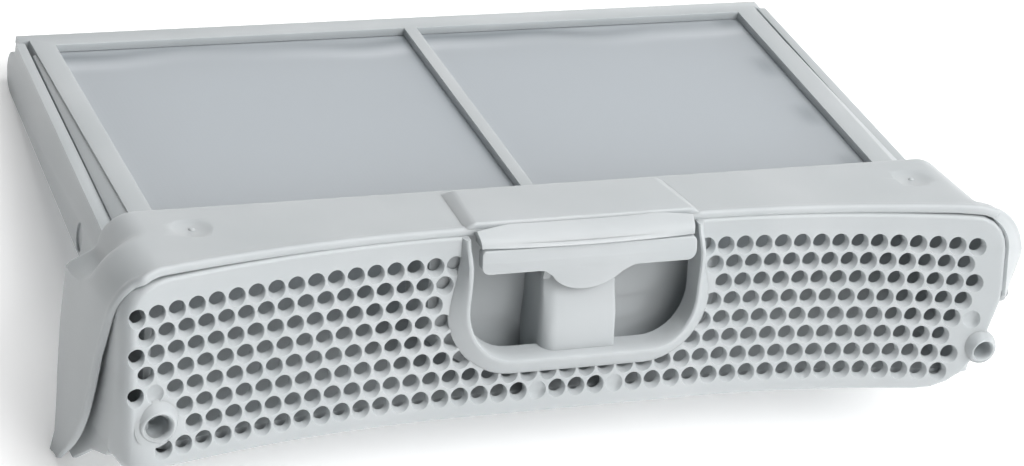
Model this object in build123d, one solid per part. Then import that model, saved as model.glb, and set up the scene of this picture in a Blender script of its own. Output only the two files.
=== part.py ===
from build123d import *
from math import asin, atan2, cos, degrees, hypot, radians, sin, tan
import os

# Tumble dryer lint filter: two hinged mesh frames behind a perforated front with a finger latch.
# Millimetres. Everything is drawn in the filter's own frame: X across, Y from the front to the hinge,
# Z up from the middle of the front grille, with the upper mesh level. The last section lays the closed
# filter down on its two feet and its hinge end, with the origin under the middle of its box.

REACH = 220.0             # longer than any cut has to be
RUN = 0.3                 # room between pieces that turn on each other
BORE_ROOM = 0.15          # between a pin and its bore

# Hood over the front: top, rounded shoulders, cheeks and rear wall
HOOD_WALL = 2.4
HOOD_FRONT_TOP, HOOD_REAR_TOP = 33.6, 29.4
HOOD_FRONT, HOOD_REAR, HOOD_HALF = -14.0, 40.0, 165.6
SHOULDER_FRONT_R, SHOULDER_REAR_R = 16.0, 34.0
GAP = 0.7                 # seam between the hood and the grille's top
CHEEK_ROOM = 1.7          # between a cheek and the grille's end wall
CHEEK_FRONT, CHEEK_TOP_Z, CHEEK_REAR_Z = 1.8, 20.0, -4.0
LEFT_TURN, LEFT_BEND = -22.0, (5.0, -35.5)    # where a cheek's front edge turns back, and its bend's middle
RIGHT_TURN, RIGHT_BEND = -4.0, (8.0, -28.0)
RIM_HALF, RIM_IN, RIM_LOW = 153.6, -12.9, -3.0   # right rim plate: inner end, its depth, its lower end
RIM_SLOPE = 35.0          # degrees that it runs back to the cheek
FLARE = 4.0               # degrees that feet and cheeks spread
FLARE_Z = 15.0            # height where they stand at their nominal width
POCKET_ROOM = 0.7         # round the tray where it passes the rear wall
PLATEAU_HALF, PLATEAU_SLOPE, PLATEAU_RISE, PLATEAU_REAR = 40.0, 3.0, 2.4, 36.0
GATE_X, GATE_Y, GATE_R, GATE_DEEP = 130.7, 24.0, 6.5, 0.6

# Front grille: a curved, leaning face with walls that run back from its edges
HOLE_PITCH = 7.0          # between the holes of a row
ROW_PITCH = 6.2           # between rows, measured upright
HOLE_R = 2.4
ROW_DROOP = 1.35          # how far a row sinks at 150 mm from the middle
GRILLE_WALL = 2.4
GRILLE_LEAN = 15.5        # degrees that the top leans back
GRILLE_BOTTOM = -30.0
FLAT_HALF = 40.0          # flat middle of the face
CURVE_R = 508.0           # its two ends bend forward on this radius
STRIPS = 7                # flat strips that each bend is made of, to keep the holes' faces few
WALL_HALF = HOOD_HALF - HOOD_WALL - CHEEK_ROOM
WALL_FLARE = 3.0          # how much wider the left end is at the bottom
WALL_BACK = 16.0          # where the end walls stop
NOSE_Y = -34.0            # plane where the end walls would meet the narrow front outline
NOSE_LEFT_IN, NOSE_RIGHT_IN = 0.5, 14.1
NOSE_SLANT = 10.0         # how much narrower the right end is at the bottom
CORNER_LOW_R = 22.0
FOOT_Y, FOOT_Z = 21.0, -50.0
FOOT_HALF = 2.5           # half length of the tip that stands on the table
FOOT_BACK, FOOT_WALL = 31.0, 2.2
FOOT_LIFT = 0.8           # the cheeks end this much above the feet inside them
ARCH_Y, ARCH_Z = -1.0, -31.5   # top of the arch between the left foot and the grille
BOSS_IN, BOSS_Z = 12.5, -16.0
BOSS_R, BOSS_HOLE_R, BOSS_RISE = 5.6, 3.4, 4.5
BOSS_X = WALL_HALF - BOSS_IN

# Finger cup: its collar stands before the face, its floor closes it behind, a hollow post stands in it
OPENING_HALF, OPENING_BOTTOM, OPENING_R = 41.0, -9.3, 17.0
COLLAR_WALL, COLLAR_FRONT, COLLAR_BACK = 2.6, 4.0, 4.6
CUP_DEPTH, CUP_WALL, CUP_TOP = 19.0, 2.2, 27.0
CUP_STEP, CUP_WIDEN = 1.3, 7.0   # how much wider the cup is behind the collar, and at its floor
POST_HALF, POST_RISE, POST_WALL, POST_TOP = 13.1, 1.2, 2.2, 15.5

# Latch on its pin between the ears of the post, and the lip of the hood above it
LATCH_HALF, LATCH_TOP, LATCH_BOTTOM = 38.6, 28.3, 20.5
LATCH_RISE, LATCH_THICK, LATCH_END_R, LATCH_BULGE = 5.8, 4.0, 2.4, 0.7
TONGUE_R, TONGUE_BOTTOM, TONGUE_THICK = 13.5, 13.4, 2.4
PIVOT_Y, PIVOT_Z, PIN_R, EYE_R, EAR_WALL = 10.0, 22.5, 2.0, 4.2, 2.6
LIP_HALF, LIP_FRONT, LIP_BULGE, LIP_GAP, LIP_DROP, LIP_ROOT = 38.2, 2.4, 1.5, 0.4, 0.6, 14.0
LIP_BOTTOM = LATCH_TOP + LIP_GAP

# Pocket: lower tray and upper mesh frame, joined by the hinge
TRAY_ROOM = 8.5           # between the tray's front and the grille's end walls
TRAY_SET = 3.0            # between the tray's front and the back of the grille's face
TRAY_TAPER = 6.6          # how much each side draws in towards the hinge
TRAY_WALL = 2.4
TRAY_FRONT_TOP, TRAY_REAR_TOP = 15.8, 19.2   # height of its walls at the hood and at the hinge
TRAY_RIM, TRAY_REAR_RIM, RIM_DEEP = 4.6, 3.2, 2.0   # inner rim along the top of the walls
TRAY_FRONT_HALF = WALL_HALF - TRAY_ROOM
TRAY_REAR_HALF = TRAY_FRONT_HALF - TRAY_TAPER
FLOOR_STEP, FLOOR_Y, FLOOR_Z = 14.0, 58.0, -7.4
TRAY_RAIL, TRAY_WINDOW_FRONT = 16.4, 66.0
FRAME_ROOM = 2.6          # between the upper frame and the tray's wall at the hinge
FRAME_HALF = TRAY_REAR_HALF - TRAY_WALL - FRAME_ROOM
RAIL_TOP, FRAME_DEEP, FRAME_FRONT, FRAME_DRAFT = 20.0, 7.0, 36.0, 1.0
SIDE_RAIL, WINDOW_FRONT, RIB = 8.2, 52.0, 4.7
WINDOW_HALF = FRAME_HALF - SIDE_RAIL
TRAY_WINDOW_HALF = TRAY_REAR_HALF - TRAY_RAIL
MESH, MESH_DROP, MESH_GRIP, MESH_SEAT = 0.5, 3.0, 3.0, 1.0
HINGE_Y, HINGE_R, HINGE_ROOM = 170.0, 8.0, 0.5
FRAME_REAR = HINGE_Y + 6.0           # the rear rail lies over the hinge
WINDOW_REAR = HINGE_Y - 3.5
TRAY_WINDOW_REAR = HINGE_Y - 12.0
EAR_REACH, EAR_DEEP = 7.5, 4.2       # ends of the rear rail, over the tray's walls
HINGE_Z = RAIL_TOP - MESH_DROP - MESH - MESH_SEAT - HINGE_ROOM - HINGE_R
REAR_WALL_RISE = 5.0      # height of the tray's low wall under the hinge
TRUNNION_R, LUG_R, LUG_WALL, SKIN = 2.8, 5.0, 8.0, 1.2
TRUNNION_LEN = FRAME_ROOM + TRAY_WALL - SKIN - RUN
CATCH_Y, CATCH_Z, CATCH_RY, CATCH_RZ, CATCH_DEEP = 73.0, -0.5, 3.6, 5.4, 0.9
CATCH_SLOT = (1.6, 4.5)

LEAN = tan(radians(GRILLE_LEAN))
SPREAD = tan(radians(FLARE))
HOOD_SLOPE = (HOOD_FRONT_TOP - HOOD_REAR_TOP) / HOOD_REAR


def hood_top(y):
    """Height of the hood's top over the depth."""
    return HOOD_FRONT_TOP - HOOD_SLOPE * y


def shoulder(y):
    """Radius of the hood's shoulders over the depth."""
    share = (y - HOOD_FRONT) / (HOOD_REAR - HOOD_FRONT)
    return SHOULDER_FRONT_R + (SHOULDER_REAR_R - SHOULDER_FRONT_R) * share


def tray_top(y):
    """Height of the tray's walls over the depth."""
    share = (y - HOOD_REAR) / (HINGE_Y - HOOD_REAR)
    return TRAY_FRONT_TOP + (TRAY_REAR_TOP - TRAY_FRONT_TOP) * share


def polygon(points):
    return make_face(Polyline(*points, close=True))


def along_x(points, x0, x1):
    """Prism of a side-view (Y, Z) outline from x0 to x1."""
    return extrude(Plane.YZ.offset(x0) * polygon(points), amount=x1 - x0)


def upright(y):
    """Front-view plane at depth y, with X and Z as its own axes."""
    return Plane((0, y, 0), x_dir=(1, 0, 0), z_dir=(0, -1, 0))


def along_y(face, y0, y1):
    """Prism of a front-view (X, Z) face from y0 back to y1."""
    return extrude(upright(y1) * face, amount=y1 - y0)


def rod(y, z, radius, x0, x1):
    """Round bar along X."""
    return extrude(Plane.YZ.offset(x0) * Pos(y, z) * Circle(radius), amount=x1 - x0)


def slab(front, back, half, low=-REACH, high=REACH):
    """Leaning plate parallel to the flat middle of the face, between two distances behind it."""
    outline = [(LEAN * low + front, low), (LEAN * low + back, low),
               (LEAN * high + back, high), (LEAN * high + front, high)]
    return along_x(outline, -half, half)


def behind(distance):
    """Everything that lies further back than the curved face moved back by a distance."""
    bend = asin((REACH - FLAT_HALF) / CURVE_R)
    turns = [bend * strip / STRIPS for strip in range(STRIPS + 1)]
    right = [(FLAT_HALF + CURVE_R * sin(turn), distance - CURVE_R * (1 - cos(turn))) for turn in turns]
    left = [(-x, y) for x, y in reversed(right)]
    plan = polygon(left + right + [(REACH, REACH), (-REACH, REACH)])
    return Rot(X=-GRILLE_LEAN) * extrude(Plane.XY.offset(-REACH) * plan, amount=2 * REACH)


def face_depth(x, z):
    """Depth of the curved face at a place in the front view."""
    past = max(abs(x) - FLAT_HALF, 0)
    return LEAN * z - (CURVE_R - (CURVE_R**2 - past**2) ** 0.5) / cos(radians(GRILLE_LEAN))


def grille_outline(y, left, right, flare, slant, inset, low_inset):
    """Front-view outline of the grille's box at depth y, drawn in by an inset."""
    top = hood_top(y) - HOOD_WALL - GAP - inset
    low = GRILLE_BOTTOM + low_inset
    corners = [(left - flare + inset, low), (right - slant - inset, low),
               (right - inset, top), (left + inset, top)]
    face = Sketch() + polygon(corners)
    face = fillet(face.vertices().sort_by(Axis.Y)[:2], CORNER_LOW_R - inset)
    face = fillet(face.vertices().sort_by(Axis.Y)[-2:], shoulder(y) - HOOD_WALL - GAP - inset)
    return upright(y) * face


def grille_box(inset, low_inset):
    nose = grille_outline(NOSE_Y, NOSE_LEFT_IN - WALL_HALF, WALL_HALF - NOSE_RIGHT_IN, 0, NOSE_SLANT,
                          inset, low_inset)
    back = grille_outline(WALL_BACK, -WALL_HALF, WALL_HALF, WALL_FLARE, 0, inset, low_inset)
    return loft([nose.face(), back.face()], ruled=True)


def hole_centres():
    """Places of the open holes: eight staggered rows that keep clear of the ends and of the collar."""
    rows = [(4.0, 4.5, 18.0), (7.5, 8.0, 21.5), (4.0, 11.5, 18.0), (7.5, 8.0, 21.5),
            (4.0, 4.5, 25.0), (21.5, 1.0, 28.5), (25.0, None, 25.0), (14.5, None, 28.5)]
    blind = {(4, -22), (7, -2), (7, 2)}
    for row, (left_room, collar_room, right_room) in enumerate(rows):
        height = (3.5 - row) * ROW_PITCH
        shift = 0.5 if row % 2 == 0 else 0.0
        for step in range(-40, 41):
            x = (step + shift) * HOLE_PITCH
            z = height - ROW_DROOP * (x / 150.0) ** 2
            beside = collar_room is None or abs(x) >= OPENING_HALF + collar_room
            within = left_room - WALL_HALF <= x <= WALL_HALF - right_room
            fits = z - HOLE_R > GRILLE_BOTTOM + GRILLE_WALL and z + HOLE_R < hood_top(0) - HOOD_WALL - GAP
            if beside and within and fits and (row, step) not in blind:
                yield x, z


def opening(grow):
    """U-shaped finger opening in the front view, open at the top, grown outwards by a margin."""
    half, low = OPENING_HALF + grow, OPENING_BOTTOM - grow
    face = Sketch() + polygon([(-half, low), (half, low), (half, REACH), (-half, REACH)])
    return fillet(face.vertices().sort_by(Axis.Y)[:2], OPENING_R + grow)


def cup(grow):
    """Space of the finger cup, which widens from the collar back to its floor, grown by a margin."""
    ends = [upright(COLLAR_BACK - CUP_STEP) * opening(CUP_STEP + grow),
            upright(CUP_DEPTH + grow) * opening(CUP_WIDEN + grow)]
    return Rot(X=-GRILLE_LEAN) * loft([end.face() for end in ends], ruled=True)


def foot(side):
    """Plate that stands on the table inside a cheek."""
    tip, heel = (FOOT_Y - FOOT_HALF, FOOT_Z), (FOOT_Y + FOOT_HALF, FOOT_Z)
    front = (ARCH_Y, ARCH_Z) if side < 0 else (RIGHT_BEND[0] + GRILLE_WALL, RIGHT_BEND[1])
    bend = ((tip[0] + front[0]) / 2 - FOOT_HALF / 2, (tip[1] + front[1]) / 2 + FOOT_HALF / 2)
    arch = ThreePointArc(tip, bend, front)
    rest = Polyline(arch @ 1, (front[0], 0), (FOOT_BACK, 0), (FOOT_BACK, GRILLE_BOTTOM), heel, arch @ 0)
    plate = extrude(Plane.YZ.offset(-FOOT_WALL / 2) * make_face([arch, rest]), amount=FOOT_WALL)
    return Pos(side * (WALL_HALF - FOOT_WALL / 2), 0, 0) * Rot(Y=-side * FLARE) * plate


def front_grille():
    body = grille_box(0, 0) & behind(0)
    body -= grille_box(GRILLE_WALL, GRILLE_WALL) & behind(GRILLE_WALL)
    holes = Sketch() + [Pos(x, z) * RegularPolygon(HOLE_R, 6) for x, z in hole_centres()]
    body -= along_y(holes, -REACH / 2, WALL_BACK - 2 * GRILLE_WALL)
    for side in (-1, 1):
        body += foot(side)
        boss_front = face_depth(BOSS_X, BOSS_Z) - BOSS_RISE
        boss = along_y(Pos(side * BOSS_X, BOSS_Z) * Circle(BOSS_R), boss_front, WALL_BACK)
        body += boss - behind(GRILLE_WALL)
    collar_top = hood_top(0) - HOOD_WALL - GAP - LEAN * COLLAR_FRONT
    below_hood = slab(-REACH, REACH, REACH, -REACH, CUP_TOP)
    body -= along_y(opening(0), -REACH, REACH)
    wall = along_y(opening(COLLAR_WALL) - opening(0), -REACH, REACH)
    body += wall & slab(-COLLAR_FRONT, COLLAR_BACK, REACH, -REACH, CUP_TOP)
    body += wall & slab(-COLLAR_FRONT, 0, REACH, -REACH, collar_top)
    body += (cup(CUP_WALL) - cup(0)) & below_hood
    post_low = OPENING_BOTTOM - COLLAR_WALL / 2
    front = slab(-POST_RISE, POST_WALL - POST_RISE, POST_HALF, post_low, POST_TOP)
    sides = slab(-POST_RISE, CUP_DEPTH, POST_HALF, post_low, POST_TOP)
    sides += slab(COLLAR_BACK, REACH, POST_HALF, -REACH, POST_TOP) & cup(CUP_WALL / 2)
    sides -= slab(-REACH, REACH, POST_HALF - EAR_WALL)
    neck = [(PIVOT_Y - EYE_R, PIVOT_Z), (PIVOT_Y, PIVOT_Z + EYE_R), (LEAN * CUP_TOP + CUP_DEPTH, CUP_TOP),
            (LEAN * POST_TOP + CUP_DEPTH, POST_TOP - POST_WALL), (PIVOT_Y - EYE_R, POST_TOP - POST_WALL)]
    for side in (-1, 1):
        inner, outer = sorted((side * (POST_HALF - EAR_WALL), side * POST_HALF))
        sides += along_x(neck, inner, outer) + rod(PIVOT_Y, PIVOT_Z, EYE_R, inner, outer)
        bore_end = face_depth(BOSS_X, BOSS_Z) + 2 * GRILLE_WALL
        body -= along_y(Pos(side * BOSS_X, BOSS_Z) * Circle(BOSS_HOLE_R), -REACH, bore_end)
    body += front + sides
    return body - rod(PIVOT_Y, PIVOT_Z, PIN_R, -POST_HALF, POST_HALF)


def latch_bar():
    bar = Sketch() + polygon([(-LATCH_HALF, LATCH_BOTTOM), (LATCH_HALF, LATCH_BOTTOM),
                              (LATCH_HALF, LATCH_TOP), (-LATCH_HALF, LATCH_TOP)])
    bar = fillet(bar.vertices(), LATCH_END_R)
    middle = (LATCH_BOTTOM + LATCH_TOP) / 2
    front, back = -LATCH_RISE, LATCH_THICK - LATCH_RISE
    roof = [(LEAN * LATCH_BOTTOM + front, LATCH_BOTTOM), (LEAN * middle + front - LATCH_BULGE, middle),
            (LEAN * LATCH_TOP + front, LATCH_TOP), (LEAN * LATCH_TOP + back, LATCH_TOP),
            (LEAN * LATCH_BOTTOM + back, LATCH_BOTTOM)]
    body = along_y(bar, -REACH, REACH) & along_x(roof, -REACH, REACH)
    tongue = Pos(0, TONGUE_BOTTOM + TONGUE_R) * Circle(TONGUE_R)
    tongue &= Pos(0, TONGUE_BOTTOM) * Rectangle(2 * REACH, 2 * (LATCH_TOP - LATCH_END_R - TONGUE_BOTTOM))
    body += along_y(tongue, -REACH, REACH) & slab(-LATCH_RISE, TONGUE_THICK - LATCH_RISE, REACH)
    half = POST_HALF - EAR_WALL - RUN
    eye = [(LEAN * PIVOT_Z - LATCH_RISE + LATCH_THICK / 2, PIVOT_Z + EYE_R), (PIVOT_Y, PIVOT_Z + EYE_R),
           (PIVOT_Y, LATCH_BOTTOM), (LEAN * LATCH_BOTTOM - LATCH_RISE + LATCH_THICK / 2, LATCH_BOTTOM)]
    body += along_x(eye, -half, half) + rod(PIVOT_Y, PIVOT_Z, EYE_R, -half, half)
    return body - rod(PIVOT_Y, PIVOT_Z, PIN_R + BORE_ROOM, -half, half)


def latch_pin():
    return rod(PIVOT_Y, PIVOT_Z, PIN_R, -POST_HALF, POST_HALF)


def tray_half(y):
    return TRAY_FRONT_HALF + (TRAY_REAR_HALF - TRAY_FRONT_HALF) * y / HINGE_Y


def tray_block(inset, rise):
    """Tapered block of the lower tray, drawn in by an inset and raised at its top."""
    front, rear = NOSE_Y, HINGE_Y + HINGE_R - inset
    plan = polygon([(-tray_half(front) + inset, front), (tray_half(front) - inset, front),
                    (tray_half(rear) - inset, rear), (-tray_half(rear) + inset, rear)])
    low = GRILLE_BOTTOM + GRILLE_WALL + inset
    end = ThreePointArc((HINGE_Y, HINGE_Z - HINGE_R + inset), (HINGE_Y + HINGE_R - inset, HINGE_Z),
                        (HINGE_Y, HINGE_Z + HINGE_R - inset))
    rest = Polyline(end @ 1, (HINGE_Y, tray_top(HINGE_Y) + rise), (NOSE_Y, tray_top(NOSE_Y) + rise),
                    (NOSE_Y, low), (FLOOR_STEP, low), (FLOOR_Y, FLOOR_Z + inset), end @ 0)
    profile = extrude(Plane.YZ.offset(-REACH) * make_face([end, rest]), amount=2 * REACH)
    return extrude(Plane.XY.offset(-REACH) * plan, amount=2 * REACH) & profile


def lower_frame():
    body = tray_block(0, 0) - tray_block(TRAY_WALL, REACH)
    rim_front, rim_rear = tray_half(HOOD_REAR) - TRAY_RIM, tray_half(HINGE_Y) - TRAY_REAR_RIM
    within = polygon([(-rim_front, HOOD_REAR), (rim_front, HOOD_REAR),
                      (rim_rear, HINGE_Y), (-rim_rear, HINGE_Y)])
    under = along_x([(HOOD_REAR, tray_top(HOOD_REAR) - RIM_DEEP), (HINGE_Y, tray_top(HINGE_Y) - RIM_DEEP),
                     (HINGE_Y, REACH), (HOOD_REAR, REACH)], -REACH, REACH)
    body += (tray_block(0, 0) & under) - extrude(Plane.XY.offset(-REACH) * within, amount=2 * REACH)
    inner_half = tray_half(HINGE_Y) - TRAY_WALL
    notch = FRAME_HALF - LUG_WALL - RUN
    low_wall = HINGE_Z - HINGE_R + REAR_WALL_RISE
    body -= Pos(0, HINGE_Y + REACH / 2, low_wall + REACH / 2) * Box(2 * notch, REACH, REACH)
    for side in (-1, 1):
        wall = side * (tray_half(HINGE_Y) - TRAY_WALL / 2)
        pad0, pad1 = sorted((wall, side * (FRAME_HALF + RUN)))
        lug_way = Box(inner_half - notch, REACH, REACH)
        body -= Pos(side * (notch + inner_half) / 2, HINGE_Y + REACH / 2, 0) * lug_way
        body += rod(HINGE_Y, HINGE_Z, HINGE_R - RUN, pad0, pad1)
        pit0, pit1 = sorted((side * FRAME_HALF, side * (FRAME_HALF + TRUNNION_LEN + RUN)))
        body -= rod(HINGE_Y, HINGE_Z, TRUNNION_R + BORE_ROOM, pit0, pit1)
        pane = Pos(side * (TRAY_WINDOW_HALF + RIB / 2) / 2, (TRAY_WINDOW_FRONT + TRAY_WINDOW_REAR) / 2, 0)
        body -= pane * Box(TRAY_WINDOW_HALF - RIB / 2, TRAY_WINDOW_REAR - TRAY_WINDOW_FRONT, 4 * HINGE_R)
        outside = side * tray_half(CATCH_Y)
        dish0, dish1 = sorted((outside + side * TRAY_WALL, outside - side * CATCH_DEEP))
        dish = Plane.YZ.offset(dish0) * Pos(CATCH_Y, CATCH_Z) * Ellipse(CATCH_RY, CATCH_RZ)
        body -= extrude(dish, amount=dish1 - dish0)
        body -= Pos(outside, CATCH_Y - CATCH_RY / 2, CATCH_Z) * Box(4 * TRAY_WALL, *CATCH_SLOT)
    front_zone = Pos(0, (NOSE_Y + WALL_BACK) / 2, 0) * Box(2 * REACH, WALL_BACK - NOSE_Y, 2 * REACH)
    body -= front_zone - grille_box(GRILLE_WALL + RUN, GRILLE_WALL)
    return body & behind(GRILLE_WALL + TRAY_SET)


def lower_mesh():
    """Sheet that lies on the tray's floor over its two windows."""
    slope = (HINGE_Z - HINGE_R - FLOOR_Z) / (HINGE_Y - FLOOR_Y)
    ends = [TRAY_WINDOW_FRONT - MESH_GRIP, TRAY_WINDOW_REAR + MESH_GRIP]
    base = [(y, FLOOR_Z + TRAY_WALL + slope * (y - FLOOR_Y)) for y in ends]
    outline = base + [(y, z + MESH) for y, z in reversed(base)]
    half = TRAY_WINDOW_HALF + MESH_GRIP
    return along_x(outline, -half, half)


def upper_mesh():
    """Sheet moulded into the upper frame, below its rails and rib."""
    length = WINDOW_REAR - WINDOW_FRONT + 2 * MESH_GRIP
    middle = Pos(0, (WINDOW_FRONT + WINDOW_REAR) / 2, RAIL_TOP - MESH_DROP - MESH / 2)
    return middle * Box(2 * (WINDOW_HALF + MESH_GRIP), length, MESH)


def upper_frame():
    low_half, low = FRAME_HALF + FRAME_DRAFT, RAIL_TOP - FRAME_DEEP
    section = polygon([(-low_half, low), (low_half, low), (FRAME_HALF, RAIL_TOP), (-FRAME_HALF, RAIL_TOP)])
    body = along_y(section, FRAME_FRONT, FRAME_REAR)
    ear_half = FRAME_HALF + EAR_REACH
    body += along_x([(HINGE_Y + HINGE_ROOM, RAIL_TOP - EAR_DEEP), (FRAME_REAR, RAIL_TOP - EAR_DEEP),
                     (FRAME_REAR, RAIL_TOP), (HINGE_Y + HINGE_ROOM, RAIL_TOP)], -ear_half, ear_half)
    pane = Box(WINDOW_HALF - RIB / 2, WINDOW_REAR - WINDOW_FRONT, 2 * REACH)
    for side in (-1, 1):
        body -= Pos(side * (WINDOW_HALF + RIB / 2) / 2, (WINDOW_FRONT + WINDOW_REAR) / 2, 0) * pane
    body -= rod(HINGE_Y, HINGE_Z, HINGE_R + HINGE_ROOM, -REACH, REACH)
    arm = [(HINGE_Y - LUG_R, HINGE_Z), (HINGE_Y + LUG_R, HINGE_Z),
           (HINGE_Y + LUG_R, RAIL_TOP - MESH_DROP), (HINGE_Y - LUG_R, RAIL_TOP - MESH_DROP)]
    for side in (-1, 1):
        lug0, lug1 = sorted((side * (FRAME_HALF - LUG_WALL + RUN), side * FRAME_HALF))
        body += along_x(arm, lug0, lug1) + rod(HINGE_Y, HINGE_Z, LUG_R, lug0, lug1)
        pin0, pin1 = sorted((side * FRAME_HALF, side * (FRAME_HALF + TRUNNION_LEN)))
        body += rod(HINGE_Y, HINGE_Z, TRUNNION_R, pin0, pin1)
    return body - upper_mesh()


def hood_section(y, inset):
    """Front-view outline of the hood at depth y: level top, round shoulders, spreading sides."""
    top = hood_top(y)
    low_half = HOOD_HALF + SPREAD * (FLARE_Z + REACH) - inset
    top_half = HOOD_HALF - SPREAD * (top - FLARE_Z) - inset
    face = Sketch() + polygon([(-low_half, -REACH), (low_half, -REACH),
                               (top_half, top - inset), (-top_half, top - inset)])
    return upright(y) * fillet(face.vertices().sort_by(Axis.Y)[-2:], shoulder(y) - inset)


def side_view(turn, bend):
    """Side-view outline that the hood is cut to, with a cheek that turns back below a height."""
    tip, seam = FOOT_Z + FOOT_LIFT, hood_top(0) - HOOD_WALL - GAP
    lower = ThreePointArc((CHEEK_FRONT, turn), (CHEEK_FRONT + bend[0], bend[1]), (FOOT_Y - FOOT_HALF, tip))
    rest = Polyline(lower @ 1, (FOOT_Y + FOOT_HALF + FOOT_LIFT, tip), (FOOT_BACK + 2.0, LEFT_TURN - 1.0),
                    (HOOD_REAR, CHEEK_REAR_Z), (HOOD_REAR, REACH), (-REACH, REACH),
                    (-REACH, seam + HOOD_WALL), (HOOD_FRONT / 2, seam), (CHEEK_FRONT, CHEEK_TOP_Z), lower @ 0)
    return make_face([lower, rest])


def front_hood():
    outer = loft([hood_section(HOOD_FRONT, 0).face(), hood_section(HOOD_REAR, 0).face()], ruled=True)
    inside = HOOD_REAR - HOOD_WALL
    hollow = loft([hood_section(HOOD_FRONT, HOOD_WALL).face(), hood_section(inside, HOOD_WALL).face()],
                  ruled=True)
    shell = (outer - hollow) & behind(0)
    left = extrude(Plane.YZ.offset(-REACH) * side_view(LEFT_TURN, LEFT_BEND), amount=REACH)
    right = extrude(Plane.YZ * side_view(RIGHT_TURN, RIGHT_BEND), amount=REACH)
    body = shell & (left + right)
    run = tan(radians(RIM_SLOPE))
    rim_ends = [(RIM_HALF + step, RIM_IN + run * step) for step in (-HOOD_REAR, HOOD_REAR)]
    plate = polygon(rim_ends + [(x, y + HOOD_WALL) for x, y in reversed(rim_ends)])
    rim = Rot(X=-GRILLE_LEAN) * extrude(Plane.XY.offset(-REACH) * plate, amount=2 * REACH)
    rim = rim & outer & behind(0) & (Pos(REACH / 2, 0, RIM_LOW + REACH / 2) * Box(REACH, REACH, REACH))
    body += rim - grille_box(-GAP, -GAP)
    frame_way = Box(2 * (FRAME_HALF + FRAME_DRAFT), 2 * (HOOD_REAR - FRAME_FRONT), REACH)
    body -= Pos(0, HOOD_REAR, RAIL_TOP - REACH / 2) * frame_way
    tray_way = Box(2 * (tray_half(HOOD_REAR) + POCKET_ROOM), HOOD_REAR / 2, REACH)
    body -= Pos(0, HOOD_REAR, tray_top(HOOD_REAR) + POCKET_ROOM - REACH / 2) * tray_way
    front = face_depth(0, hood_top(0))
    low_half = PLATEAU_HALF + PLATEAU_SLOPE
    trapeze = polygon([(-low_half, -HOOD_WALL / 2), (low_half, -HOOD_WALL / 2),
                       (PLATEAU_HALF, PLATEAU_RISE), (-PLATEAU_HALF, PLATEAU_RISE)])
    body += extrude(Plane((0, front, hood_top(front)), x_dir=(1, 0, 0), z_dir=(0, -1, 0)) * trapeze,
                    amount=PLATEAU_REAR - front, dir=(0, 1, -HOOD_SLOPE))
    nose = LIP_FRONT - LIP_BULGE
    lip_top = hood_top(0) - LIP_DROP
    profile = [(LIP_ROOT, lip_top), (nose + lip_top - LIP_BOTTOM + LIP_GAP, lip_top),
               (nose, LIP_BOTTOM + 2 * LIP_GAP), (nose, LIP_BOTTOM), (LIP_ROOT, LIP_BOTTOM + HOOD_WALL)]
    brow = ThreePointArc((-LIP_HALF, LIP_FRONT), (0, nose), (LIP_HALF, LIP_FRONT))
    back = Polyline(brow @ 1, (LIP_HALF, LIP_ROOT), (-LIP_HALF, LIP_ROOT), brow @ 0)
    plan = extrude(make_face([brow, back]), amount=REACH)
    body += along_x(profile, -LIP_HALF, LIP_HALF) & plan
    for side in (-1, 1):
        slope = Rot(X=-degrees(atan2(HOOD_SLOPE, 1)))
        seat = Pos(side * GATE_X, GATE_Y, hood_top(GATE_Y) - GATE_DEEP) * slope
        body -= seat * extrude(Circle(GATE_R), amount=HOOD_WALL)
    return body


# Laying the closed filter down: its feet and the round hinge end touch the table
reach_y, reach_z = HINGE_Y - FOOT_Y - FOOT_HALF, HINGE_Z - FOOT_Z
tilt = degrees(atan2(reach_z, reach_y) - asin(HINGE_R / hypot(reach_y, reach_z)))

PIECES = (front_grille, latch_bar, latch_pin, lower_frame, lower_mesh, upper_frame, upper_mesh, front_hood)
solids = {piece.__name__: Rot(X=-tilt) * piece() for piece in PIECES}
boxes = [solid.bounding_box() for solid in solids.values()]
low = [min(values) for values in zip(*(tuple(box.min) for box in boxes))]
high = [max(values) for values in zip(*(tuple(box.max) for box in boxes))]
place = Pos(-(low[0] + high[0]) / 2, -(low[1] + high[1]) / 2, -low[2])

os.makedirs("parts", exist_ok=True)
for name, solid in solids.items():
    export_step(place * solid, f"parts/{name}.step")

axes = {"hinge": (HINGE_Y, HINGE_Z), "latch": (PIVOT_Y, PIVOT_Z)}
for name, (y, z) in axes.items():
    centre = place * (Rot(X=-tilt) * Pos(0, y, z))
    print(name, "axis at", tuple(round(v, 3) for v in centre.position))
print("laid down by", round(tilt, 3), "degrees, moved by", tuple(round(v, 3) for v in place.position))
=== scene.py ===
import math

import bpy
from mathutils import Matrix, Vector


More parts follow.
